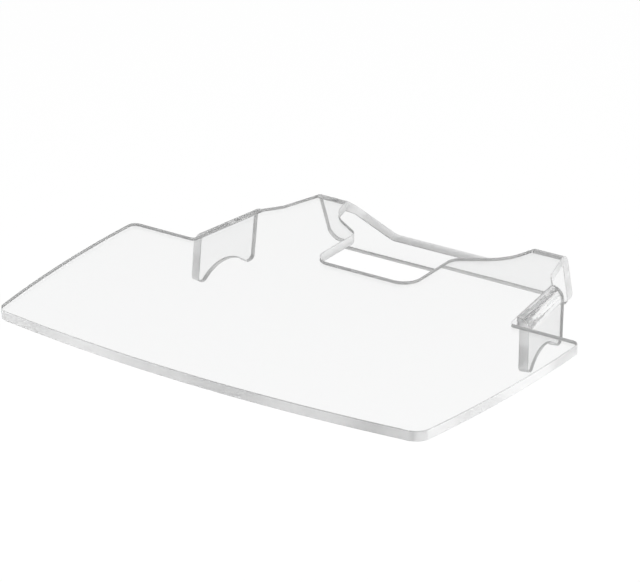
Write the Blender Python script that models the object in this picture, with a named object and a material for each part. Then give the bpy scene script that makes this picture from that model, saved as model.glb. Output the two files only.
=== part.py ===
"""Clear acrylic desk tray that sits across a round bar on two saddle legs.

A wide deck narrows to a neck with two rear ears. A saddle leg turns down
from each side of the neck, and a hook bar turns down across both ears.
Lengths are in metres. X runs to the user's right, Y runs away from the user
and Z runs up. The origin is midway between the tops of the two saddle arches.
"""

import math

import bmesh
import bpy
from mathutils import Vector

# The sheet that every piece is cut from, and how it turns a corner
SHEET = 0.0095
BEND_INNER_RADIUS = 0.003
JOINT_GAP = 0.0003
BEND_STEPS = 8

# Heights, measured from the top of the saddle arches
DECK_TOP = 0.045
LEG_FOOT = -0.0125

# Distances along Y, measured from the straight back edge of the wings
ARCH_CENTRE = 0.048
LEG_START = 0.0148
LEG_END = 0.0930
EAR_SHOULDER = 0.110
REAR_BEND = 0.150

# The wide deck
BACK_WIDTH = 0.4846
FRONT_WIDTH = 0.4446
WING_DEPTH = 0.2232
FRONT_BOW = 0.0155
SIDE_BOW = 0.0053
FRONT_CORNER_RADIUS = 0.015
BACK_CORNER_RADIUS = 0.008

# The neck and its ears
NECK_WIDTH = 0.343
LEG_TOE_IN = math.radians(7.35)
RELIEF_RADIUS = 0.004
SHOULDER_WIDTH = 0.295
SHOULDER_RADIUS = 0.008
LEG_HEEL_RADIUS = 0.004
EAR_SPAN = 0.272

# The window between the ears, from the notch in the deck to the hook bar
NOTCH_WIDTH = 0.105
NOTCH_START = 0.022
NOTCH_CORNER_RADIUS = 0.017
MOUTH_START = 0.093
MOUTH_LIP_RADIUS = 0.015
MOUTH_WIDTH = 0.1892
MOUTH_KNEE = 0.1205
MOUTH_KNEE_RADIUS = 0.050
WINDOW_WIDTH = 0.211
WINDOW_OVERRUN = 0.009
WINDOW_CORNER_RADIUS = 0.005

# The saddle legs
LEG_BEND_ANGLE = math.radians(88.5)
LEG_FRONT_RAKE = 0.006
LEG_BACK_RAKE = 0.007
LEG_CORNER_RADIUS = 0.0065
ARCH_CHORD = 0.058
ARCH_EDGE_RADIUS = 0.003

# The hook bar, measured down its outer face from the start of the bend
HOOK_BEND_ANGLE = math.radians(72.0)
HOOK_DIP = 0.0372
HOOK_LENGTH = 0.0650
HOOK_DIP_WIDTH = 0.112
HOOK_DIP_RADIUS = 0.012
HOOK_FOOT_WIDTH = 0.267
HOOK_CORNER_RADIUS = 0.0125

# How finely curved edges are stepped
FILLET_STEP = math.radians(10.0)
BOW_STEPS = 14
SIDE_STEPS = 8
ARCH_STEPS = 14

# Sizes that follow from the ones above
BEND_RADIUS = BEND_INNER_RADIUS + SHEET
BACK_EDGE = -ARCH_CENTRE
BEND_DROP = BEND_RADIUS * (1.0 - math.cos(LEG_BEND_ANGLE))
LEG_PANEL = (DECK_TOP - LEG_FOOT - BEND_DROP) / math.sin(LEG_BEND_ANGLE)
LEG_LENGTH = BEND_RADIUS * LEG_BEND_ANGLE + LEG_PANEL
ARCH_RISE = -LEG_FOOT


def clear_scene():
    for old in list(bpy.data.objects):
        bpy.data.objects.remove(old, do_unlink=True)


def clear_acrylic():
    material = bpy.data.materials.new("clear_acrylic")
    material.use_nodes = True
    shader = material.node_tree.nodes["Principled BSDF"]
    shader.inputs["Base Color"].default_value = (0.97, 0.98, 0.98, 1.0)
    shader.inputs["Metallic"].default_value = 0.0
    shader.inputs["Roughness"].default_value = 0.02
    shader.inputs["IOR"].default_value = 1.49
    shader.inputs["Transmission Weight"].default_value = 1.0
    return material


def bowed(start, end, bow, steps):
    """Points strictly between start and end on an arc that bulges to the right of the way."""
    start = Vector(start)
    end = Vector(end)
    chord = (end - start).length
    along = (end - start) / chord
    right = Vector((along.y, -along.x))
    radius = (chord * chord / 4.0 + bow * bow) / (2.0 * bow)
    centre = (start + end) / 2.0 + right * (bow - radius)
    half_angle = math.asin(chord / 2.0 / radius)
    points = []
    for step in range(1, steps):
        angle = half_angle * (2.0 * step / steps - 1.0)
        points.append(centre + right * radius * math.cos(angle) + along * radius * math.sin(angle))
    return points


def rounded(corners):
    """Outline through (x, y, radius) corners, with an arc where the radius isn't zero."""
    points = []
    count = len(corners)
    for index, (x, y, radius) in enumerate(corners):
        corner = Vector((x, y))
        if radius == 0.0:
            points.append(corner)
            continue
        before = (Vector(corners[index - 1][:2]) - corner).normalized()
        after = (Vector(corners[(index + 1) % count][:2]) - corner).normalized()
        inside = before.angle(after)
        reach = radius / math.tan(inside / 2.0)
        centre = corner + (before + after).normalized() * (radius / math.sin(inside / 2.0))
        first = corner + before * reach - centre
        last = corner + after * reach - centre
        turn = first.angle_signed(last)
        steps = max(2, math.ceil(abs(turn) / FILLET_STEP))
        for step in range(steps + 1):
            angle = -turn * step / steps
            across = Vector((-first.y, first.x))
            points.append(centre + first * math.cos(angle) + across * math.sin(angle))
    return points


def mirrored_outline(half):
    """A closed outline from its right half, which runs from the front to the back."""
    left = [(-x, y, radius) for x, y, radius in reversed(half)]
    return rounded(half + left)


def plate(outline, thickness):
    """A flat sheet with its top at zero height, as a bmesh."""
    sheet = bmesh.new()
    top = [sheet.verts.new((point.x, point.y, 0.0)) for point in outline]
    face = sheet.faces.new(top)
    extruded = bmesh.ops.extrude_face_region(sheet, geom=[face])
    moved = [item for item in extruded["geom"] if isinstance(item, bmesh.types.BMVert)]
    bmesh.ops.translate(sheet, verts=moved, vec=(0.0, 0.0, -thickness))
    sheet.normal_update()
    bmesh.ops.recalc_face_normals(sheet, faces=sheet.faces[:])
    return sheet


def turn_down(sheet, angle):
    """Bend a flat sheet down along its local X axis, with its top outside the bend.

    The flat sheet lies at positive local Y, and the bend starts at Y = 0.
    """
    bend_length = BEND_RADIUS * angle
    for step in range(1, BEND_STEPS + 1):
        cut = bend_length * step / BEND_STEPS
        everything = sheet.verts[:] + sheet.edges[:] + sheet.faces[:]
        place = (0.0, cut, 0.0)
        bmesh.ops.bisect_plane(sheet, geom=everything, dist=1e-7, plane_co=place, plane_no=(0.0, 1.0, 0.0))
    bmesh.ops.triangulate(sheet, faces=sheet.faces[:])
    for vertex in sheet.verts:
        distance = vertex.co.y
        radius = BEND_RADIUS + vertex.co.z
        turned = min(distance / BEND_RADIUS, angle)
        straight = max(distance - bend_length, 0.0)
        vertex.co.y = radius * math.sin(turned) + straight * math.cos(angle)
        vertex.co.z = radius * math.cos(turned) - BEND_RADIUS - straight * math.sin(angle)
    sheet.normal_update()
    bmesh.ops.recalc_face_normals(sheet, faces=sheet.faces[:])


def add_piece(name, sheet, material, parent):
    mesh = bpy.data.meshes.new(name)
    sheet.to_mesh(mesh)
    sheet.free()
    mesh.materials.append(material)
    piece = bpy.data.objects.new(name, mesh)
    piece.parent = parent
    bpy.context.collection.objects.link(piece)
    return piece


def neck_edge(distance):
    """X of the leg's bend line at a distance behind the wings' back edge."""
    return NECK_WIDTH / 2.0 - distance * math.tan(LEG_TOE_IN)


def window_edge(distance):
    """X of the ear's inner edge, which is straight from the mouth's knee to the window's corner."""
    share = (distance - MOUTH_KNEE) / (REAR_BEND + WINDOW_OVERRUN - MOUTH_KNEE)
    return (MOUTH_WIDTH + (WINDOW_WIDTH - MOUTH_WIDTH) * share) / 2.0


def deck_outline():
    front_corner = (FRONT_WIDTH / 2.0, BACK_EDGE - WING_DEPTH)
    back_corner = (BACK_WIDTH / 2.0, BACK_EDGE)
    left_front = (-front_corner[0], front_corner[1])
    front = bowed(left_front, front_corner, FRONT_BOW, BOW_STEPS)
    side = bowed(front_corner, back_corner, SIDE_BOW, SIDE_STEPS)
    half = [(point.x, point.y, 0.0) for point in front if point.x > 1e-6]
    half.append((*front_corner, FRONT_CORNER_RADIUS))
    half.extend((point.x, point.y, 0.0) for point in side)
    half.append((*back_corner, BACK_CORNER_RADIUS))
    half.append((neck_edge(0.0), BACK_EDGE, RELIEF_RADIUS))
    half.append((neck_edge(LEG_END), BACK_EDGE + LEG_END, LEG_HEEL_RADIUS))
    half.append((SHOULDER_WIDTH / 2.0, BACK_EDGE + EAR_SHOULDER, SHOULDER_RADIUS))
    half.append((EAR_SPAN / 2.0, BACK_EDGE + REAR_BEND, 0.0))
    half.append((window_edge(REAR_BEND), BACK_EDGE + REAR_BEND, 0.0))
    half.append((MOUTH_WIDTH / 2.0, BACK_EDGE + MOUTH_KNEE, MOUTH_KNEE_RADIUS))
    half.append((NOTCH_WIDTH / 2.0, BACK_EDGE + MOUTH_START, MOUTH_LIP_RADIUS))
    half.append((NOTCH_WIDTH / 2.0, BACK_EDGE + NOTCH_START, NOTCH_CORNER_RADIUS))
    return mirrored_outline(half)


def leg_outline():
    """Flat pattern of a leg: X along the bend line from the wings' back edge, Y outwards."""
    foot = LEG_LENGTH
    arch_front = (ARCH_CENTRE - ARCH_CHORD / 2.0, foot)
    arch_back = (ARCH_CENTRE + ARCH_CHORD / 2.0, foot)
    arch = bowed(arch_back, arch_front, -ARCH_RISE, ARCH_STEPS)
    corners = [
        (LEG_START, JOINT_GAP, 0.0),
        (LEG_END, JOINT_GAP, 0.0),
        (LEG_END - LEG_BACK_RAKE, foot, LEG_CORNER_RADIUS),
        (*arch_back, ARCH_EDGE_RADIUS),
    ]
    corners.extend((point.x, point.y, 0.0) for point in arch)
    corners.append((*arch_front, ARCH_EDGE_RADIUS))
    corners.append((LEG_START - LEG_FRONT_RAKE, foot, LEG_CORNER_RADIUS))
    return rounded(corners)


def hook_outline():
    """Flat pattern of the hook bar: X across the tray, Y outwards from the rear bend line."""
    half = [
        (window_edge(REAR_BEND), JOINT_GAP, 0.0),
        (EAR_SPAN / 2.0, JOINT_GAP, 0.0),
        (HOOK_FOOT_WIDTH / 2.0, HOOK_LENGTH, HOOK_CORNER_RADIUS),
    ]
    inner = [
        (HOOK_DIP_WIDTH / 2.0, HOOK_DIP, HOOK_DIP_RADIUS),
        (WINDOW_WIDTH / 2.0, WINDOW_OVERRUN, WINDOW_CORNER_RADIUS),
    ]
    left_half = [(-x, y, radius) for x, y, radius in reversed(half)]
    left_inner = [(-x, y, radius) for x, y, radius in reversed(inner)]
    return rounded(half + left_half + left_inner + inner)


def build_deck(material, parent):
    sheet = plate(deck_outline(), SHEET)
    deck = add_piece("deck", sheet, material, parent)
    deck.location = (0.0, 0.0, DECK_TOP)


def build_leg(name, side, material, parent):
    """One saddle leg; side is +1 on the user's right and -1 on the left."""
    sheet = plate(leg_outline(), SHEET)
    turn_down(sheet, LEG_BEND_ANGLE)
    # The flat pattern's X runs along the bend line, which is the leg's local Y
    for vertex in sheet.verts:
        vertex.co = Vector((side * vertex.co.y, vertex.co.x, vertex.co.z))
    sheet.normal_update()
    bmesh.ops.recalc_face_normals(sheet, faces=sheet.faces[:])
    leg = add_piece(name, sheet, material, parent)
    leg.location = (side * neck_edge(0.0), BACK_EDGE, DECK_TOP)
    leg.rotation_euler = (0.0, 0.0, side * LEG_TOE_IN)


def build_hook_bar(material, parent):
    sheet = plate(hook_outline(), SHEET)
    turn_down(sheet, HOOK_BEND_ANGLE)
    hook = add_piece("rear_hook_bar", sheet, material, parent)
    hook.location = (0.0, BACK_EDGE + REAR_BEND, DECK_TOP)


def main():
    clear_scene()
    material = clear_acrylic()
    tray = bpy.data.objects.new("tray", None)
    bpy.context.collection.objects.link(tray)
    build_deck(material, tray)
    build_leg("left_saddle_leg", -1.0, material, tray)
    build_leg("right_saddle_leg", 1.0, material, tray)
    build_hook_bar(material, tray)


main()
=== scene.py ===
# %% [markdown]
# A clear acrylic desk tray, cut from one thick sheet and folded. One wide deck narrows to a neck
# with two rear ears, a saddle leg turns down from each side of the neck, and a hook bar turns
# down across both ears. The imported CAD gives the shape. This script remakes its four pieces with
# smooth curves, fine polished edges and clear acrylic, in the same place and at the same size.

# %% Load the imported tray
import math

import bmesh
import bpy
from mathutils import Matrix, Vector


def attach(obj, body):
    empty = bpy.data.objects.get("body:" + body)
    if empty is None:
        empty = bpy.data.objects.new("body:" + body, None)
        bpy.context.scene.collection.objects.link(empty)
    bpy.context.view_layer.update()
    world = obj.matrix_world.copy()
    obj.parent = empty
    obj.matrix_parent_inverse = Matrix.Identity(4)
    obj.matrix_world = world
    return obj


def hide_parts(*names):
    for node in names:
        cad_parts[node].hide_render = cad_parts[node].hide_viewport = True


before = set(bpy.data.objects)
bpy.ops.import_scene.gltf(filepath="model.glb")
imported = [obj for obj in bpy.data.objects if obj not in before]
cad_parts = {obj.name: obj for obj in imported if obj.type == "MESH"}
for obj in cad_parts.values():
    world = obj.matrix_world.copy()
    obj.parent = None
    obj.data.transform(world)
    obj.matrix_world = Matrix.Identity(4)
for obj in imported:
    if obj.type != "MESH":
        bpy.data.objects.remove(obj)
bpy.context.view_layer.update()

# %% [markdown]
# The visual pieces follow the CAD's own sizes, so the same names are used here, in metres.
# Everything is measured along Y from the straight back edge of the wings, and the top of the
# deck is 45 mm above the tops of the saddle arches, where the origin is. The back width and the
# front bow are a hair less than the CAD's, whose straight steps run inside the true curves, so
# that the smooth deck stays inside the CAD's box.

# %% Sizes of the sheet and its bends
SHEET = 0.0095
BEND_INNER_RADIUS = 0.003
BEND_RADIUS = BEND_INNER_RADIUS + SHEET
DECK_TOP = 0.045
LEG_FOOT = -0.0125
ARCH_CENTRE = 0.048
BACK_EDGE = -ARCH_CENTRE
LEG_TOE_IN = math.radians(7.35)
LEG_BEND_ANGLE = math.radians(88.5)
HOOK_BEND_ANGLE = math.radians(72.0)
SEAM_LAP = 0.00002
EDGE_ROUND = 0.0006

# %% Sizes of the deck
BACK_WIDTH = 0.4845
FRONT_WIDTH = 0.4446
WING_DEPTH = 0.2232
FRONT_BOW = 0.0152
SIDE_BOW = 0.0053
FRONT_CORNER_RADIUS = 0.015
BACK_CORNER_RADIUS = 0.008
NECK_WIDTH = 0.343
RELIEF_RADIUS = 0.004
SHOULDER_WIDTH = 0.295
SHOULDER_RADIUS = 0.008
LEG_HEEL_RADIUS = 0.004
EAR_SPAN = 0.272
LEG_START = 0.0148
LEG_END = 0.0930
EAR_SHOULDER = 0.110
REAR_BEND = 0.150

# %% Sizes of the window, the legs and the hook bar
NOTCH_WIDTH = 0.105
NOTCH_START = 0.022
NOTCH_CORNER_RADIUS = 0.017
MOUTH_START = 0.093
MOUTH_LIP_RADIUS = 0.015
MOUTH_WIDTH = 0.1892
MOUTH_KNEE = 0.1205
MOUTH_KNEE_RADIUS = 0.050
WINDOW_WIDTH = 0.211
WINDOW_OVERRUN = 0.009
WINDOW_CORNER_RADIUS = 0.005
LEG_FRONT_RAKE = 0.006
LEG_BACK_RAKE = 0.007
LEG_CORNER_RADIUS = 0.0065
BEND_DROP = BEND_RADIUS * (1.0 - math.cos(LEG_BEND_ANGLE))
LEG_PANEL = (DECK_TOP - LEG_FOOT - BEND_DROP) / math.sin(LEG_BEND_ANGLE)
LEG_LENGTH = BEND_RADIUS * LEG_BEND_ANGLE + LEG_PANEL
ARCH_CHORD = 0.058
ARCH_RISE = -LEG_FOOT
ARCH_EDGE_RADIUS = 0.003
HOOK_DIP = 0.0372
HOOK_LENGTH = 0.0650
HOOK_DIP_WIDTH = 0.112
HOOK_DIP_RADIUS = 0.012
HOOK_FOOT_WIDTH = 0.267
HOOK_CORNER_RADIUS = 0.0125
print("leg pattern length in mm:", round(1000 * LEG_LENGTH, 1))

# %% [markdown]
# The camera stands at the photograph's angle: in front, to the right and above, far off with a
# long lens, so the deck's edges stay almost parallel. Its place was solved from matching left
# and right corners of the tray. It is set directly by place and angles, with no lens shift.

# %% Camera
CAMERA_PLACE = (1.4704, -2.2213, 1.2034)
CAMERA_TURN = (1.1514, 0.00684, 0.60114)
CAMERA_LENS = 179.44


def add_camera():
    data = bpy.data.cameras.new("studio_camera")
    data.lens = CAMERA_LENS
    data.sensor_width = 36.0
    data.clip_start = 0.1
    data.clip_end = 50.0
    camera = bpy.data.objects.new("studio_camera", data)
    camera.location = CAMERA_PLACE
    camera.rotation_euler = CAMERA_TURN
    bpy.context.scene.collection.objects.link(camera)
    bpy.context.scene.camera = camera
    return camera


camera = add_camera()
print("camera is", round(camera.location.length, 2), "m from the tray")

# %% [markdown]
# Clear acrylic has no colour of its own, so it shows whatever is around it. Product photographers
# light it with a bright field: a white sweep behind the subject and a greyer room in front of it.
# Faces then stay white while cut edges, which bend and mirror light from elsewhere, turn grey.
# The world does the same with its directions, and stays plain white for camera rays. The light
# path's Glossy Depth counts the mirrorings on the way. Light that was mirrored shows the dark
# cards a studio stands out of view, so both the world and the floor are darker for it. Black
# planes round the tray could do that too, but they would have to move with every camera. A Color
# Ramp only runs from 0 to 1, so it reads half the count: 0, a half for once, and 1 for twice.

# %% Studio world
SWEEP = 0.97
ROOM = 0.10
ROOM_DIRECTION = (-0.35, -0.94, 0.0)
ROOM_FADE = (-0.2, 0.8)
WORLD_MIRRORED = (0.74, 0.90)
FLOOR_MIRRORED = (0.42, 0.90)
HALF_COUNT = 0.5
ONCE_FROM = 0.25
TWICE_FROM = 0.75


def grey(level):
    return (level, level, level, 1.0)


def smooth_step(nodes, links, source, low, high):
    """Smooth step from 0 at low to 1 at high."""
    step = nodes.new("ShaderNodeMapRange")
    step.interpolation_type = "SMOOTHSTEP"
    step.inputs["From Min"].default_value = low
    step.inputs["From Max"].default_value = high
    links.new(source, step.inputs["Value"])
    return step.outputs["Result"]


def mirror_dimmer(nodes, links, path, levels):
    """1 for light that was never mirrored, then a level for once and a level for more often."""
    ramp = nodes.new("ShaderNodeValToRGB")
    steps = ramp.color_ramp
    steps.interpolation = "CONSTANT"
    steps.elements[0].position = 0.0
    steps.elements[0].color = grey(1.0)
    steps.elements[1].position = ONCE_FROM
    steps.elements[1].color = grey(levels[0])
    steps.elements.new(TWICE_FROM).color = grey(levels[1])
    halved = nodes.new("ShaderNodeMath")
    halved.operation = "MULTIPLY"
    halved.inputs[1].default_value = HALF_COUNT
    links.new(path.outputs["Glossy Depth"], halved.inputs[0])
    links.new(halved.outputs["Value"], ramp.inputs["Fac"])
    return ramp.outputs["Color"]


def add_world():
    world = bpy.data.worlds.new("bright_field_studio")
    bpy.context.scene.world = world
    world.use_nodes = True
    nodes = world.node_tree.nodes
    links = world.node_tree.links
    nodes.clear()
    place = nodes.new("ShaderNodeTexCoord")
    towards_room = nodes.new("ShaderNodeVectorMath")
    towards_room.operation = "DOT_PRODUCT"
    towards_room.inputs[1].default_value = ROOM_DIRECTION
    around = nodes.new("ShaderNodeMix")
    around.data_type = "RGBA"
    path = nodes.new("ShaderNodeLightPath")
    dimmed = nodes.new("ShaderNodeMix")
    dimmed.data_type = "RGBA"
    dimmed.blend_type = "MULTIPLY"
    dimmed.inputs["Factor"].default_value = 1.0
    seen = nodes.new("ShaderNodeMix")
    seen.data_type = "RGBA"
    background = nodes.new("ShaderNodeBackground")
    output = nodes.new("ShaderNodeOutputWorld")
    links.new(place.outputs["Generated"], towards_room.inputs[0])
    room_share = smooth_step(nodes, links, towards_room.outputs["Value"], *ROOM_FADE)
    links.new(room_share, around.inputs["Factor"])
    around.inputs["A"].default_value = grey(SWEEP)
    around.inputs["B"].default_value = grey(ROOM)
    links.new(around.outputs["Result"], dimmed.inputs["A"])
    links.new(mirror_dimmer(nodes, links, path, WORLD_MIRRORED), dimmed.inputs["B"])
    links.new(path.outputs["Is Camera Ray"], seen.inputs["Factor"])
    links.new(dimmed.outputs["Result"], seen.inputs["A"])
    seen.inputs["B"].default_value = grey(1.0)
    links.new(seen.outputs["Result"], background.inputs["Color"])
    links.new(background.outputs["Background"], output.inputs["Surface"])
    return world


world = add_world()
print("world:", world.name)

# %% [markdown]
# The floor is a wide pale plane well below the tray, since the real one is held up in the air.
# It glows a little for rays that come from the camera or through the acrylic, so it reads as
# plain white there, and it still takes the tray's soft shadow. A curved backdrop is the usual
# way, but this camera looks down, so a flat plane fills the picture behind the tray too.

# %% Floor
FLOOR_HEIGHT = -0.30
FLOOR_HALF_WIDTH = 12.0
FLOOR_GREY = 0.95
GLOW_SHARE = 0.94


def floor_material():
    material = bpy.data.materials.new("pale_floor")
    material.use_nodes = True
    nodes = material.node_tree.nodes
    links = material.node_tree.links
    nodes.clear()
    output = nodes.new("ShaderNodeOutputMaterial")
    matte = nodes.new("ShaderNodeBsdfDiffuse")
    matte.inputs["Color"].default_value = grey(FLOOR_GREY)
    glow = nodes.new("ShaderNodeEmission")
    glow.inputs["Strength"].default_value = 1.0
    path = nodes.new("ShaderNodeLightPath")
    links.new(mirror_dimmer(nodes, links, path, FLOOR_MIRRORED), glow.inputs["Color"])
    straight_or_through = nodes.new("ShaderNodeMath")
    straight_or_through.operation = "MAXIMUM"
    or_mirrored = nodes.new("ShaderNodeMath")
    or_mirrored.operation = "MAXIMUM"
    share = nodes.new("ShaderNodeMath")
    share.operation = "MULTIPLY"
    share.inputs[1].default_value = GLOW_SHARE
    mix = nodes.new("ShaderNodeMixShader")
    links.new(path.outputs["Is Camera Ray"], straight_or_through.inputs[0])
    links.new(path.outputs["Is Transmission Ray"], straight_or_through.inputs[1])
    links.new(straight_or_through.outputs["Value"], or_mirrored.inputs[0])
    links.new(path.outputs["Is Glossy Ray"], or_mirrored.inputs[1])
    links.new(or_mirrored.outputs["Value"], share.inputs[0])
    links.new(share.outputs["Value"], mix.inputs["Fac"])
    links.new(matte.outputs["BSDF"], mix.inputs[1])
    links.new(glow.outputs["Emission"], mix.inputs[2])
    links.new(mix.outputs["Shader"], output.inputs["Surface"])
    return material


def add_floor():
    mesh = bpy.data.meshes.new("floor")
    half = FLOOR_HALF_WIDTH
    corners = [(-half, -half), (half, -half), (half, half), (-half, half)]
    mesh.from_pydata([(x, y, FLOOR_HEIGHT) for x, y in corners], [], [(0, 1, 2, 3)])
    mesh.materials.append(floor_material())
    floor = bpy.data.objects.new("floor", mesh)
    bpy.context.scene.collection.objects.link(floor)
    return floor


add_floor()
print("floor at", FLOOR_HEIGHT, "m")

# %% [markdown]
# The world alone would leave every cut edge the same grey, so three lamps tell them apart. Sun
# lamps could do it too, but a disk gives the soft falloff of a studio softbox. A wide one above
# lightens what looks up. One at the side stands level with the tray: it lightens the outer edges
# on the right, and the sheet itself keeps it off the window's edges behind them. A weak near one
# makes the bowed front edge brightest at its left end, as in the photograph. They only light
# what scatters: a lamp's small bright image, met by chance inside the sheet, would leave grain.

# %% Lamps
TRAY_MIDDLE = (0.0, -0.05, 0.0)
FRONT_EDGE_LEFT = (-0.2, -0.27, 0.04)
TOP_POWER = 25.0
SIDE_POWER = 80.0
NEAR_POWER = 7.0


def add_area_lamp(name, place, aim, size, power):
    data = bpy.data.lights.new(name, "AREA")
    data.shape = "DISK"
    data.size = size
    data.energy = power
    lamp = bpy.data.objects.new(name, data)
    lamp.location = place
    lamp.rotation_euler = (Vector(aim) - Vector(place)).to_track_quat("-Z", "Y").to_euler()
    lamp.visible_glossy = False
    lamp.visible_transmission = False
    bpy.context.scene.collection.objects.link(lamp)
    return lamp


add_area_lamp("top_lamp", (0.0, 0.1, 2.6), TRAY_MIDDLE, size=2.4, power=TOP_POWER)
add_area_lamp("side_lamp", (2.6, 0.2, 0.12), TRAY_MIDDLE, size=0.3, power=SIDE_POWER)
add_area_lamp("near_lamp", (-0.62, -0.75, 0.25), FRONT_EDGE_LEFT, size=0.6, power=NEAR_POWER)
print("lamps in watts:", TOP_POWER, SIDE_POWER, NEAR_POWER)

# %% [markdown]
# Light that enters a cut edge runs along inside the sheet and is mirrored by its faces dozens of
# times before it gets out. With the usual few bounces those paths end early and every edge turns
# black, so the limits are raised here. Light that meets no acrylic isn't any slower for it. The
# Standard view shows each grey as it is written, where the usual one would dull the whites.

# %% Light paths and view
BOUNCES = 64

cycles = bpy.context.scene.cycles
cycles.max_bounces = BOUNCES
cycles.transmission_bounces = BOUNCES
cycles.glossy_bounces = BOUNCES
bpy.context.scene.view_settings.view_transform = "Standard"
print("light paths may have", BOUNCES, "bounces")

# %% [markdown]
# Every piece starts as a flat pattern, as a cutter would draw it on the sheet. A corner becomes
# an arc of its own radius, and a bowed edge is one shallow arc. Both come from formulas, so the
# visual pieces can have finer steps than the CAD without another list of points.

# %% Outline helpers
FILLET_STEP = math.radians(4.0)


def bowed(start, end, bow, steps):
    """Points between start and end on an arc that bulges to the right of the way."""
    start = Vector(start)
    end = Vector(end)
    chord = (end - start).length
    along = (end - start) / chord
    right = Vector((along.y, -along.x))
    radius = (chord * chord / 4.0 + bow * bow) / (2.0 * bow)
    centre = (start + end) / 2.0 + right * (bow - radius)
    half_angle = math.asin(chord / 2.0 / radius)
    points = []
    for step in range(1, steps):
        angle = half_angle * (2.0 * step / steps - 1.0)
        points.append(centre + right * radius * math.cos(angle) + along * radius * math.sin(angle))
    return points


def rounded(corners):
    """Outline through (x, y, radius) corners, with an arc where the radius isn't zero."""
    points = []
    for index, (x, y, radius) in enumerate(corners):
        corner = Vector((x, y))
        if radius == 0.0:
            points.append(corner)
            continue
        before = (Vector(corners[index - 1][:2]) - corner).normalized()
        after = (Vector(corners[(index + 1) % len(corners)][:2]) - corner).normalized()
        inside = before.angle(after)
        reach = radius / math.tan(inside / 2.0)
        centre = corner + (before + after).normalized() * (radius / math.sin(inside / 2.0))
        first = corner + before * reach - centre
        last = corner + after * reach - centre
        turn = first.angle_signed(last)
        across = Vector((-first.y, first.x))
        steps = max(3, math.ceil(abs(turn) / FILLET_STEP))
        for step in range(steps + 1):
            angle = -turn * step / steps
            points.append(centre + first * math.cos(angle) + across * math.sin(angle))
    return points


def neck_edge(distance):
    """X of the leg's bend line at a distance behind the wings' back edge."""
    return NECK_WIDTH / 2.0 - distance * math.tan(LEG_TOE_IN)


def window_edge(distance):
    """X of the ear's inner edge, from the mouth's knee to the window's corner."""
    share = (distance - MOUTH_KNEE) / (REAR_BEND + WINDOW_OVERRUN - MOUTH_KNEE)
    return (MOUTH_WIDTH + (WINDOW_WIDTH - MOUTH_WIDTH) * share) / 2.0


print("half the neck at the relief notch in mm:", round(1000 * neck_edge(0.0), 1))

# %% [markdown]
# The deck, the leg and the hook bar are one closed outline each. They could be drawn by hand as
# Bezier curves, but lists of corners keep every size named, and one leg pattern serves both
# sides. A folded piece is drawn with its bend line on X, and Y is the way along the sheet.

# %% Flat patterns
FRONT_STEPS = 42
SIDE_STEPS = 16
ARCH_STEPS = 28
CENTRE_LINE = 1e-6


def deck_pattern():
    front_corner = (FRONT_WIDTH / 2.0, BACK_EDGE - WING_DEPTH)
    back_corner = (BACK_WIDTH / 2.0, BACK_EDGE)
    left_front = (-front_corner[0], front_corner[1])
    front = bowed(left_front, front_corner, FRONT_BOW, FRONT_STEPS)
    side = bowed(front_corner, back_corner, SIDE_BOW, SIDE_STEPS)
    half = [(point.x, point.y, 0.0) for point in front if point.x > CENTRE_LINE]
    half.append((*front_corner, FRONT_CORNER_RADIUS))
    half.extend((point.x, point.y, 0.0) for point in side)
    half.append((*back_corner, BACK_CORNER_RADIUS))
    half.append((neck_edge(0.0), BACK_EDGE, RELIEF_RADIUS))
    leg_front = LEG_START * math.cos(LEG_TOE_IN)
    half.append((neck_edge(leg_front), BACK_EDGE + leg_front, 0.0))
    half.append((neck_edge(LEG_END), BACK_EDGE + LEG_END, LEG_HEEL_RADIUS))
    half.append((SHOULDER_WIDTH / 2.0, BACK_EDGE + EAR_SHOULDER, SHOULDER_RADIUS))
    half.append((EAR_SPAN / 2.0, BACK_EDGE + REAR_BEND, 0.0))
    half.append((window_edge(REAR_BEND), BACK_EDGE + REAR_BEND, 0.0))
    half.append((MOUTH_WIDTH / 2.0, BACK_EDGE + MOUTH_KNEE, MOUTH_KNEE_RADIUS))
    half.append((NOTCH_WIDTH / 2.0, BACK_EDGE + MOUTH_START, MOUTH_LIP_RADIUS))
    half.append((NOTCH_WIDTH / 2.0, BACK_EDGE + NOTCH_START, NOTCH_CORNER_RADIUS))
    left = [(-x, y, radius) for x, y, radius in reversed(half)]
    return rounded(half + left)


def leg_pattern():
    arch_front = (ARCH_CENTRE - ARCH_CHORD / 2.0, LEG_LENGTH)
    arch_back = (ARCH_CENTRE + ARCH_CHORD / 2.0, LEG_LENGTH)
    arch = bowed(arch_back, arch_front, -ARCH_RISE, ARCH_STEPS)
    corners = [
        (LEG_START, -SEAM_LAP, 0.0),
        (LEG_END, -SEAM_LAP, 0.0),
        (LEG_END - LEG_BACK_RAKE, LEG_LENGTH, LEG_CORNER_RADIUS),
        (*arch_back, ARCH_EDGE_RADIUS),
    ]
    corners.extend((point.x, point.y, 0.0) for point in arch)
    corners.append((*arch_front, ARCH_EDGE_RADIUS))
    corners.append((LEG_START - LEG_FRONT_RAKE, LEG_LENGTH, LEG_CORNER_RADIUS))
    return rounded(corners)


def hook_pattern():
    outside = [
        (window_edge(REAR_BEND), -SEAM_LAP, 0.0),
        (EAR_SPAN / 2.0, -SEAM_LAP, 0.0),
        (HOOK_FOOT_WIDTH / 2.0, HOOK_LENGTH, HOOK_CORNER_RADIUS),
    ]
    inside = [
        (HOOK_DIP_WIDTH / 2.0, HOOK_DIP, HOOK_DIP_RADIUS),
        (WINDOW_WIDTH / 2.0, WINDOW_OVERRUN, WINDOW_CORNER_RADIUS),
    ]
    left_outside = [(-x, y, radius) for x, y, radius in reversed(outside)]
    left_inside = [(-x, y, radius) for x, y, radius in reversed(inside)]
    return rounded(outside + left_outside + left_inside + inside)


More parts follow.
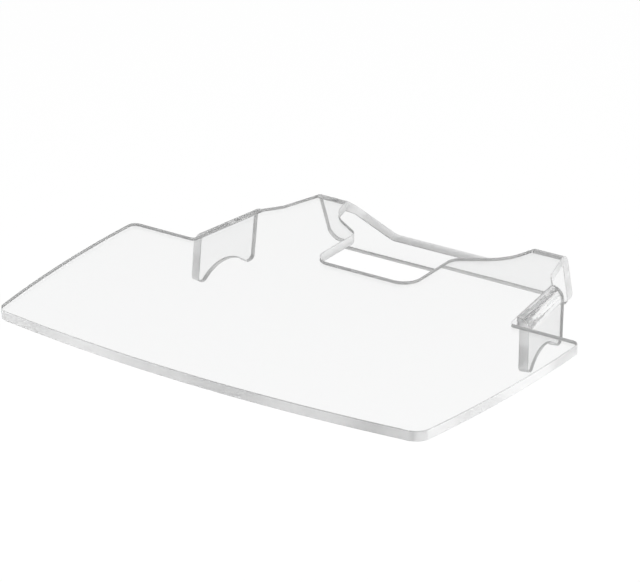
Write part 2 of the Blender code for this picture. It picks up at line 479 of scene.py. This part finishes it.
for title, pattern in (("deck", deck_pattern()), ("leg", leg_pattern()), ("hook", hook_pattern())):
    print(title, "pattern has", len(pattern), "points")

# %% [markdown]
# Acrylic is one material with several finishes: the factory-smooth faces, the cut edges with the
# cutter's fine marks across the sheet, the scraped corners of those edges, and the strip that was
# softened over a hot wire before it was folded. All are one clear glass-like shader, each with
# its own share of clear light, roughness and bump. The marks have to follow the sheet round its
# folds, so they read the place on the flat pattern, which each mesh keeps as an attribute.

# %% Shared surface effects
FLAT_PLACE = "flat_place"
EVEN = (1.0, 1.0, 1.0)
STRAIGHT_ACROSS = (1.0, 1.0, 0.02)
MOSTLY_ACROSS = (1.0, 1.0, 0.3)
NOISE_RANGE = (0.3, 0.7)


def effect_group(name, outputs):
    """An empty shader node group with a Scale input and the named float outputs."""
    group = bpy.data.node_groups.new(name, "ShaderNodeTree")
    scale = group.interface.new_socket("Scale", in_out="INPUT", socket_type="NodeSocketFloat")
    scale.default_value = 1.0
    for output in outputs:
        group.interface.new_socket(output, in_out="OUTPUT", socket_type="NodeSocketFloat")
    return group


def flat_pattern_place(group, stretch):
    """The place on the flat pattern, times the group's Scale and a stretch along each axis."""
    nodes = group.nodes
    links = group.links
    entry = nodes.new("NodeGroupInput")
    place = nodes.new("ShaderNodeAttribute")
    place.attribute_name = FLAT_PLACE
    scaled = nodes.new("ShaderNodeVectorMath")
    scaled.operation = "SCALE"
    stretched = nodes.new("ShaderNodeVectorMath")
    stretched.operation = "MULTIPLY"
    stretched.inputs[1].default_value = stretch
    links.new(place.outputs["Vector"], scaled.inputs[0])
    links.new(entry.outputs["Scale"], scaled.inputs["Scale"])
    links.new(scaled.outputs["Vector"], stretched.inputs[0])
    return stretched.outputs["Vector"]


def noise(group, vector, scale, detail):
    texture = group.nodes.new("ShaderNodeTexNoise")
    texture.inputs["Scale"].default_value = scale
    texture.inputs["Detail"].default_value = detail
    group.links.new(vector, texture.inputs["Vector"])
    return texture.outputs["Fac"]


def spread(group, source, low, high):
    """Noise, which stays near its middle, spread out between a low and a high value."""
    ranged = group.nodes.new("ShaderNodeMapRange")
    ranged.inputs["From Min"].default_value = NOISE_RANGE[0]
    ranged.inputs["From Max"].default_value = NOISE_RANGE[1]
    ranged.inputs["To Min"].default_value = low
    ranged.inputs["To Max"].default_value = high
    group.links.new(source, ranged.inputs["Value"])
    return ranged.outputs["Result"]


def wipe_haze_group():
    """Faint haze and waves of a wiped cast sheet: a roughness and a very shallow height."""
    group = effect_group("wipe_haze", ["Roughness", "Height"])
    leave = group.nodes.new("NodeGroupOutput")
    place = flat_pattern_place(group, EVEN)
    streaks = noise(group, place, scale=45.0, detail=4.0)
    waves = noise(group, place, scale=14.0, detail=1.0)
    group.links.new(spread(group, streaks, low=0.0, high=0.02), leave.inputs["Roughness"])
    group.links.new(waves, leave.inputs["Height"])
    return group


def cutter_marks_group():
    """Fine marks that a cutter leaves straight across a cut edge, and its uneven polish."""
    group = effect_group("cutter_marks", ["Roughness", "Height"])
    leave = group.nodes.new("NodeGroupOutput")
    marks = noise(group, flat_pattern_place(group, STRAIGHT_ACROSS), scale=300.0, detail=1.0)
    polish = noise(group, flat_pattern_place(group, MOSTLY_ACROSS), scale=70.0, detail=2.0)
    group.links.new(spread(group, polish, low=0.28, high=0.40), leave.inputs["Roughness"])
    group.links.new(marks, leave.inputs["Height"])
    return group


def heat_dimples_group():
    """Uneven skin where acrylic was heated: dimples a few millimetres across."""
    group = effect_group("heat_dimples", ["Roughness", "Height"])
    leave = group.nodes.new("NodeGroupOutput")
    place = flat_pattern_place(group, EVEN)
    dimples = noise(group, place, scale=320.0, detail=1.0)
    bloom = noise(group, place, scale=60.0, detail=2.0)
    group.links.new(spread(group, bloom, low=0.0, high=0.05), leave.inputs["Roughness"])
    group.links.new(dimples, leave.inputs["Height"])
    return group


WIPE_HAZE = wipe_haze_group()
CUTTER_MARKS = cutter_marks_group()
HEAT_DIMPLES = heat_dimples_group()
print("effects:", WIPE_HAZE.name, CUTTER_MARKS.name, HEAT_DIMPLES.name)

# %% [markdown]
# Transmission Weight is the share of light that goes through. It is all of it on the faces and
# three quarters at a cut edge, where fine scratches scatter the rest. A scraped corner scatters
# most of it, and its base colour is a mid grey, painted shade that draws a thin darker line round
# every face. Four node trees made by hand could look the same, but one function keeps them alike
# and leaves only their numbers to compare.

# %% Acrylic finishes
ACRYLIC_IOR = 1.49
COOL_CAST = 1.002


def acrylic(name, effect, tint, clarity, bump_strength, bump_distance):
    """Clear shader that lets the clarity share of the light through, with one surface effect."""
    material = bpy.data.materials.new(name)
    material.use_nodes = True
    nodes = material.node_tree.nodes
    links = material.node_tree.links
    shader = nodes["Principled BSDF"]
    shader.inputs["Base Color"].default_value = (tint, tint * COOL_CAST, tint * COOL_CAST, 1.0)
    shader.inputs["IOR"].default_value = ACRYLIC_IOR
    shader.inputs["Transmission Weight"].default_value = clarity
    surface = nodes.new("ShaderNodeGroup")
    surface.node_tree = effect
    bump = nodes.new("ShaderNodeBump")
    bump.inputs["Strength"].default_value = bump_strength
    bump.inputs["Distance"].default_value = bump_distance
    links.new(surface.outputs["Roughness"], shader.inputs["Roughness"])
    links.new(surface.outputs["Height"], bump.inputs["Height"])
    links.new(bump.outputs["Normal"], shader.inputs["Normal"])
    return material


CLEAR_FACE = acrylic(
    "clear_face", WIPE_HAZE, tint=0.985, clarity=1.0, bump_strength=0.3, bump_distance=0.0002)
POLISHED_EDGE = acrylic(
    "polished_edge", CUTTER_MARKS, tint=0.94, clarity=0.74, bump_strength=0.25, bump_distance=0.0001)
# The scraped corner's mid-grey base colour is painted shade for the thin dark lines round each face.
SCRAPED_ARRIS_PAINTED_SHADE = acrylic(
    "scraped_arris_painted_shade", CUTTER_MARKS, tint=0.50, clarity=0.45, bump_strength=0.5, bump_distance=0.0001)
HEATED_SHOULDER = acrylic(
    "heated_shoulder", HEAT_DIMPLES, tint=0.97, clarity=0.93, bump_strength=0.25, bump_distance=0.0004)
FINISHES = (CLEAR_FACE, POLISHED_EDGE, SCRAPED_ARRIS_PAINTED_SHADE, HEATED_SHOULDER)
print("finishes:", [finish.name for finish in FINISHES])

# %% [markdown]
# A cut piece is its pattern with the sheet's thickness. A Solidify modifier could add that, but
# an extrusion in bmesh leaves a closed solid at once, which glass needs. A small Bevel stands for
# the edge that is scraped after cutting, and Weighted Normal keeps the big faces flat beside it.

# %% Cut a sheet
MERGE_DISTANCE = 0.00003
EDGE_SEGMENTS = 3
SHARP_EDGE = math.radians(60.0)
BIG_FACE_WEIGHT = 90


def cut_sheet(pattern):
    """A flat sheet with its top at zero height and its pattern seen from above."""
    sheet = bmesh.new()
    top = [sheet.verts.new((point.x, point.y, 0.0)) for point in pattern]
    face = sheet.faces.new(top)
    extruded = bmesh.ops.extrude_face_region(sheet, geom=[face])
    moved = [item for item in extruded["geom"] if isinstance(item, bmesh.types.BMVert)]
    bmesh.ops.translate(sheet, verts=moved, vec=(0.0, 0.0, -SHEET))
    bmesh.ops.remove_doubles(sheet, verts=sheet.verts[:], dist=MERGE_DISTANCE)
    bmesh.ops.recalc_face_normals(sheet, faces=sheet.faces[:])
    for face in sheet.faces:
        face.smooth = True
    return sheet


def sheet_object(name, sheet):
    mesh = bpy.data.meshes.new(name)
    sheet.to_mesh(mesh)
    sheet.free()
    piece = bpy.data.objects.new(name, mesh)
    bpy.context.scene.collection.objects.link(piece)
    return piece


def round_edges(piece):
    bevel = piece.modifiers.new("polished edge", "BEVEL")
    bevel.width = EDGE_ROUND
    bevel.segments = EDGE_SEGMENTS
    bevel.limit_method = "ANGLE"
    bevel.angle_limit = SHARP_EDGE
    bevel.use_clamp_overlap = False


def keep_faces_flat(piece):
    weighted = piece.modifiers.new("flat faces", "WEIGHTED_NORMAL")
    weighted.weight = BIG_FACE_WEIGHT


def apply_modifiers(piece):
    """Swaps the piece's mesh for the finished one and takes its modifiers off."""
    graph = bpy.context.evaluated_depsgraph_get()
    finished = bpy.data.meshes.new_from_object(piece.evaluated_get(graph), depsgraph=graph)
    finished.name = piece.name
    piece.modifiers.clear()
    piece.data = finished


print("scraped edges are", round(1000 * EDGE_ROUND, 1), "mm wide")

# %% [markdown]
# A fold is a rule, so Geometry Nodes make it: every point of the flat pattern keeps its place
# along the bend line, and its distance from that line becomes an angle up to the bend's end and
# a straight run after it. A Simple Deform modifier can bend too, but it can't stop at an angle
# and run on straight. The same tree folds both legs and the hook bar, and gives each face its
# finish: faces are sorted while the sheet is still flat, where a cut face is simply upright. A
# panel is one face with many corners. Smooth shading would blend its rim into it along thin
# triangles and leave grey streaks in the clear sheet, so the tree shades the panels flat.

# %% Fold tree
UPRIGHT_TILT = 0.1
LEVEL_TILT = 0.97
HALFWAY = 0.5


def calc(tree, operation, first, second=None):
    node = tree.nodes.new("ShaderNodeMath")
    node.operation = operation
    for slot, value in ((0, first), (1, second)):
        if isinstance(value, float):
            node.inputs[slot].default_value = value
        elif value is not None:
            tree.links.new(value, node.inputs[slot])
    return node.outputs["Value"]


def fold_sockets(tree):
    """The bend's radius and angle go in, with one material for each kind of face."""
    socket = tree.interface.new_socket
    socket("Geometry", in_out="INPUT", socket_type="NodeSocketGeometry")
    for name in ("Bend Radius", "Bend Angle"):
        socket(name, in_out="INPUT", socket_type="NodeSocketFloat")
    for name in ("Face Finish", "Shoulder Finish", "Edge Finish", "Arris Finish And Painted Shade"):
        socket(name, in_out="INPUT", socket_type="NodeSocketMaterial")
    socket("Geometry", in_out="OUTPUT", socket_type="NodeSocketGeometry")


def folded_place(tree, flat, radius, angle, arc):
    """Where a point of the flat pattern goes: round the bend, then straight on."""
    turned = calc(tree, "MINIMUM", calc(tree, "DIVIDE", flat.outputs["Y"], radius), angle)
    straight = calc(tree, "MAXIMUM", calc(tree, "SUBTRACT", flat.outputs["Y"], arc), 0.0)
    reach = calc(tree, "ADD", radius, flat.outputs["Z"])
    out_bend = calc(tree, "MULTIPLY", reach, calc(tree, "SINE", turned))
    out_run = calc(tree, "MULTIPLY", straight, calc(tree, "COSINE", angle))
    level = calc(tree, "MULTIPLY", reach, calc(tree, "COSINE", turned))
    down_bend = calc(tree, "SUBTRACT", level, radius)
    down_run = calc(tree, "MULTIPLY", straight, calc(tree, "SINE", angle))
    folded = tree.nodes.new("ShaderNodeCombineXYZ")
    tree.links.new(flat.outputs["X"], folded.inputs["X"])
    tree.links.new(calc(tree, "ADD", out_bend, out_run), folded.inputs["Y"])
    tree.links.new(calc(tree, "SUBTRACT", down_bend, down_run), folded.inputs["Z"])
    return folded.outputs["Vector"]


def face_kinds(tree, flat, arc):
    """1 for faces on the bend, for cut faces and for scraped corners, each in its own socket."""
    normal = tree.nodes.new("GeometryNodeInputNormal")
    facing = tree.nodes.new("ShaderNodeSeparateXYZ")
    tree.links.new(normal.outputs["Normal"], facing.inputs["Vector"])
    tilt = calc(tree, "ABSOLUTE", facing.outputs["Z"])
    upright = calc(tree, "LESS_THAN", tilt, UPRIGHT_TILT)
    off_seam = calc(tree, "GREATER_THAN", flat.outputs["Y"], 0.0)
    off_level = calc(tree, "LESS_THAN", tilt, LEVEL_TILT)
    off_upright = calc(tree, "GREATER_THAN", tilt, UPRIGHT_TILT)
    return {
        "bend": calc(tree, "LESS_THAN", flat.outputs["Y"], arc),
        "cut": calc(tree, "MULTIPLY", upright, off_seam),
        "arris": calc(tree, "MULTIPLY", off_level, off_upright),
    }


def keep_kinds(tree, geometry, kinds):
    """Captures the kinds on the faces, so that they last when the sheet is folded."""
    keep = tree.nodes.new("GeometryNodeCaptureAttribute")
    keep.domain = "FACE"
    tree.links.new(geometry, keep.inputs["Geometry"])
    for name, kind in kinds.items():
        keep.capture_items.new("FLOAT", name)
        tree.links.new(kind, keep.inputs[name])
    return keep


def keep_place(tree, geometry, place):
    """Stores each point's place on the flat pattern for the materials."""
    store = tree.nodes.new("GeometryNodeStoreNamedAttribute")
    store.data_type = "FLOAT_VECTOR"
    store.domain = "POINT"
    store.inputs["Name"].default_value = FLAT_PLACE
    tree.links.new(geometry, store.inputs["Geometry"])
    tree.links.new(place, store.inputs["Value"])
    return store.outputs["Geometry"]


def paint(tree, geometry, finish, chosen=None):
    """Gives the chosen faces a material, or all of them."""
    node = tree.nodes.new("GeometryNodeSetMaterial")
    tree.links.new(geometry, node.inputs["Geometry"])
    tree.links.new(finish, node.inputs["Material"])
    if chosen is not None:
        tree.links.new(chosen, node.inputs["Selection"])
    return node.outputs["Geometry"]


def flat_panels(tree, geometry, keep):
    """Shades the plain faces flat: those on no bend, cut or scraped corner."""
    kinds = calc(tree, "ADD", keep.outputs["bend"], keep.outputs["cut"])
    kinds = calc(tree, "ADD", kinds, keep.outputs["arris"])
    shade = tree.nodes.new("GeometryNodeSetShadeSmooth")
    shade.inputs["Shade Smooth"].default_value = False
    tree.links.new(geometry, shade.inputs["Geometry"])
    tree.links.new(calc(tree, "LESS_THAN", kinds, HALFWAY), shade.inputs["Selection"])
    return shade.outputs["Geometry"]


def fold_tree():
    tree = bpy.data.node_groups.new("fold_sheet", "GeometryNodeTree")
    fold_sockets(tree)
    entry = tree.nodes.new("NodeGroupInput")
    leave = tree.nodes.new("NodeGroupOutput")
    position = tree.nodes.new("GeometryNodeInputPosition")
    flat = tree.nodes.new("ShaderNodeSeparateXYZ")
    move = tree.nodes.new("GeometryNodeSetPosition")
    realize = tree.nodes.new("GeometryNodeRealizeInstances")
    radius = entry.outputs["Bend Radius"]
    angle = entry.outputs["Bend Angle"]
    arc = calc(tree, "MULTIPLY", radius, angle)
    tree.links.new(position.outputs["Position"], flat.inputs["Vector"])
    keep = keep_kinds(tree, entry.outputs["Geometry"], face_kinds(tree, flat, arc))
    placed = keep_place(tree, keep.outputs["Geometry"], position.outputs["Position"])
    tree.links.new(placed, move.inputs["Geometry"])
    tree.links.new(folded_place(tree, flat, radius, angle, arc), move.inputs["Position"])
    shaded = flat_panels(tree, move.outputs["Geometry"], keep)
    tree.links.new(shaded, realize.inputs["Geometry"])
    last = paint(tree, realize.outputs["Geometry"], entry.outputs["Face Finish"])
    last = paint(tree, last, entry.outputs["Shoulder Finish"], keep.outputs["bend"])
    last = paint(tree, last, entry.outputs["Edge Finish"], keep.outputs["cut"])
    # The scraped corners get the material whose grey base colour is painted shade.
    last = paint(tree, last, entry.outputs["Arris Finish And Painted Shade"], keep.outputs["arris"])
    tree.links.new(last, leave.inputs["Geometry"])
    return tree


FOLD_TREE = fold_tree()
print("fold tree has", len(FOLD_TREE.nodes), "nodes")

# %% [markdown]
# A sheet can only turn smoothly where it is divided, so the flat pattern is first cut across its
# bend in even steps, like loop cuts in Edit Mode. The Bevel comes before the fold, while every
# edge still has a plain angle, and the result is baked into one mesh at the end.

# %% Fold a piece
BEND_STEPS = 24
ON_THE_CUT = 1e-7
ALONG_SHEET = (0.0, 1.0, 0.0)


def divide_bend(sheet, angle):
    """Cuts the flat sheet across its bend, so that it can turn smoothly."""
    for step in range(1, BEND_STEPS + 1):
        cut = BEND_RADIUS * angle * step / BEND_STEPS
        bmesh.ops.bisect_plane(
            sheet,
            geom=sheet.verts[:] + sheet.edges[:] + sheet.faces[:],
            dist=ON_THE_CUT,
            plane_co=(0.0, cut, 0.0),
            plane_no=ALONG_SHEET,
        )


def set_inputs(modifier, values):
    """Sets a Geometry Nodes modifier's inputs by name, through each socket's identifier."""
    for item in modifier.node_group.interface.items_tree:
        if item.in_out == "INPUT" and item.name in values:
            modifier[item.identifier] = values[item.name]


def folded_piece(name, pattern, angle):
    sheet = cut_sheet(pattern)
    divide_bend(sheet, angle)
    piece = sheet_object(name, sheet)
    round_edges(piece)
    fold = piece.modifiers.new("fold", "NODES")
    fold.node_group = FOLD_TREE
    set_inputs(fold, {
        "Bend Radius": BEND_RADIUS,
        "Bend Angle": angle,
        "Face Finish": CLEAR_FACE,
        "Edge Finish": POLISHED_EDGE,
        "Arris Finish And Painted Shade": SCRAPED_ARRIS_PAINTED_SHADE,
        "Shoulder Finish": HEATED_SHOULDER,
    })
    keep_faces_flat(piece)
    apply_modifiers(piece)
    return piece


print("a bend is cut into", BEND_STEPS, "steps")

# %% [markdown]
# The deck stays flat, so it needs no Geometry Nodes: each face gets its finish by its direction.
# The faces that meet a folded piece are kept clear, because in the real plate there is no cut
# there and light passes straight on.

# %% Deck
DECK_FINISHES = (CLEAR_FACE, POLISHED_EDGE, SCRAPED_ARRIS_PAINTED_SHADE)
NEAR_LINE = EDGE_ROUND / 2.0


def meets_folded_piece(face):
    """True for an upright face of the deck at a leg's bend line or at the rear bend line."""
    distance = face.center.y - BACK_EDGE
    if distance > REAR_BEND - NEAR_LINE:
        return True
    off_line = abs(abs(face.center.x) - neck_edge(distance))
    beside_leg = LEG_START < distance < LEG_END - LEG_HEEL_RADIUS
    return beside_leg and off_line < NEAR_LINE


def deck_finish(face):
    """The finish of a face of the deck while the deck is still flat and level."""
    tilt = abs(face.normal.z)
    if tilt > LEVEL_TILT:
        return CLEAR_FACE
    if tilt > UPRIGHT_TILT:
        return SCRAPED_ARRIS_PAINTED_SHADE
    if meets_folded_piece(face):
        return CLEAR_FACE
    return POLISHED_EDGE


def build_deck():
    deck = sheet_object("clear_deck", cut_sheet(deck_pattern()))
    round_edges(deck)
    keep_faces_flat(deck)
    apply_modifiers(deck)
    for finish in DECK_FINISHES:
        deck.data.materials.append(finish)
    for face in deck.data.polygons:
        face.material_index = DECK_FINISHES.index(deck_finish(face))
    flat_place = deck.data.attributes.new(FLAT_PLACE, "FLOAT_VECTOR", "POINT")
    for point, vertex in zip(flat_place.data, deck.data.vertices):
        point.vector = vertex.co
    deck.data.transform(Matrix.Translation((0.0, 0.0, DECK_TOP)))
    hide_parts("deck")
    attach(deck, "root")
    return deck


deck = build_deck()
print("deck has", len(deck.data.polygons), "faces")

# %% [markdown]
# Both saddle legs come from one pattern, with a shallow arch cut in its foot. The fold tree works
# along Y, so a matrix turns the result to the right or mirrors it to the left. A negative object
# scale would mirror it too, but it would stay on the object, so the mesh is changed instead and
# its faces are turned to look outwards again.

# %% Saddle legs
def build_leg(name, node, side):
    """One leg; side is +1 on the user's right and -1 on the left."""
    leg = folded_piece(name, leg_pattern(), LEG_BEND_ANGLE)
    swap = Matrix(((0, side, 0, 0), (1, 0, 0, 0), (0, 0, 1, 0), (0, 0, 0, 1)))
    leg.data.transform(swap)
    if swap.determinant() < 0:
        leg.data.flip_normals()
    turn = Matrix.Rotation(side * LEG_TOE_IN, 4, "Z")
    place = Matrix.Translation((side * neck_edge(0.0), BACK_EDGE, DECK_TOP))
    leg.data.transform(place @ turn)
    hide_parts(node)
    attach(leg, "root")
    return leg


left_leg = build_leg("clear_left_leg", "left_saddle_leg", -1)
right_leg = build_leg("clear_right_leg", "right_saddle_leg", 1)
print("leg faces:", len(left_leg.data.polygons), len(right_leg.data.polygons))

# %% [markdown]
# The hook bar turns down across both ears. Its dip is the lower part of the window, so its
# outline meets the deck's at the bend line. It folds less far than the legs, so its foot reaches
# a little further back. The same tree makes it, with another angle.

# %% Hook bar
def build_hook_bar():
    bar = folded_piece("clear_hook_bar", hook_pattern(), HOOK_BEND_ANGLE)
    bar.data.transform(Matrix.Translation((0.0, BACK_EDGE + REAR_BEND, DECK_TOP)))
    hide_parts("rear_hook_bar")
    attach(bar, "root")
    return bar


hook_bar = build_hook_bar()
print("hook bar has", len(hook_bar.data.polygons), "faces")
